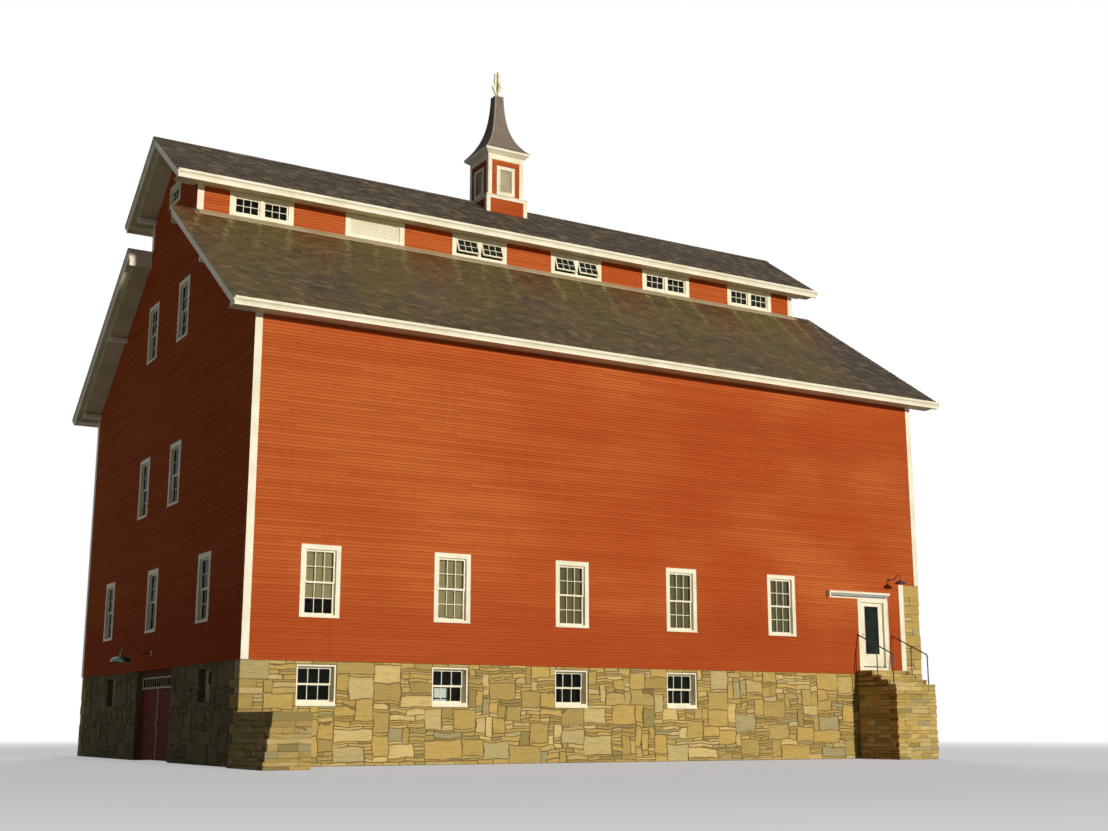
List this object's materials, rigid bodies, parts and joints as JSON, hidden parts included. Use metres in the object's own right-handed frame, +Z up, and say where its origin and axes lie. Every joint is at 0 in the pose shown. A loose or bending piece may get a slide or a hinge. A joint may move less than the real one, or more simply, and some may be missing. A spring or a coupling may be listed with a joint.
{
  "type": "bank barn",
  "caption": "Red clapboarded bank barn on a rubble-stone basement, with a slate roof, a raised monitor, a louvred cupola, an entry stoop and basement double doors.",
  "frame": {"origin": "under the middle of the barn's main walls, at the level of the lowest ground", "axes": "+Z up, X along the ridge with the basement-door gable at -X, the sunlit long front with the entry door facing -Y"},
  "size_m": [24.795, 19.465, 24.2331],
  "materials": {
    "stone": "rough rubble masonry",
    "siding": "barn-red painted clapboards",
    "trim": "cream-white painted boards",
    "floor_timber": "bare sawn boards",
    "slate": "weathered grey-brown slates with moss",
    "glass": "old window glass",
    "door_red": "dark red painted boards",
    "iron": "black painted iron",
    "galvanized": "weathered galvanized steel",
    "lead": "pale weathered sheet metal",
    "enamel": "green enamelled steel",
    "brass": "worn brass"
  },
  "bodies": {
    "building": {"foundation_front": "stone", "foundation_back": "stone", "foundation_west_front": "stone", "foundation_west_back": "stone", "foundation_east": "stone", "wing_wall": "stone", "basement_floor": "stone", "main_floor": "floor_timber", "second_floor": "floor_timber", "loft_floor": "floor_timber", "front_wall_left": "siding", "front_wall_over_door": "siding", "front_wall_right": "siding", "back_wall": "siding", "west_gable_wall": "siding", "east_gable_wall": "siding", "west_monitor_gable": "siding", "east_monitor_gable": "siding", "monitor_front_wall": "siding", "monitor_back_wall": "siding", "main_roof_front": "slate", "main_roof_back": "slate", "monitor_roof_front": "slate", "monitor_roof_back": "slate", "eave_fascias": "trim", "eave_soffits": "trim", "rake_boards": "trim", "lookouts": "trim", "corner_boards": "trim", "monitor_flashings": "lead", "windows_front": "trim", "windows_back": "trim", "windows_gables": "trim", "windows_basement": "trim", "windows_monitor": "trim", "monitor_sashes": "trim", "monitor_louvres": "trim", "window_glass": "glass", "entry_door_frame": "trim", "door_hood": "trim", "door_track": "galvanized", "basement_door_frame": "trim", "stoop": "stone", "handrails": "iron", "gable_lamp": "enamel", "front_lamp": "enamel", "cupola_base": "siding", "cupola_body": "siding", "cupola_louvres": "trim", "cupola_cornice": "trim", "cupola_roof": "slate", "finial": "trim"},
    "entry_leaf": {"entry_door": "trim", "entry_door_glass": "glass", "entry_door_handle": "brass"},
    "basement_front_leaf": {"basement_door_front_leaf": "door_red"},
    "basement_back_leaf": {"basement_door_back_leaf": "door_red"}
  },
  "joints": [
    {"name": "entry_door_hinge", "type": "hinge", "parent": "building", "child": "entry_leaf", "pos_m": [9.8375, -8.089, 3.85], "axis": [0, 0, 1], "range_deg": [-100, 0]},
    {"name": "basement_front_leaf_hinge", "type": "hinge", "parent": "building", "child": "basement_front_leaf", "pos_m": [-11.2673, -2.259, 1.03], "axis": [0, 0, 1], "range_deg": [0, 105]},
    {"name": "basement_back_leaf_hinge", "type": "hinge", "parent": "building", "child": "basement_back_leaf", "pos_m": [-11.2673, 1.109, 1.03], "axis": [0, 0, -1], "range_deg": [0, 105]}
  ]
}
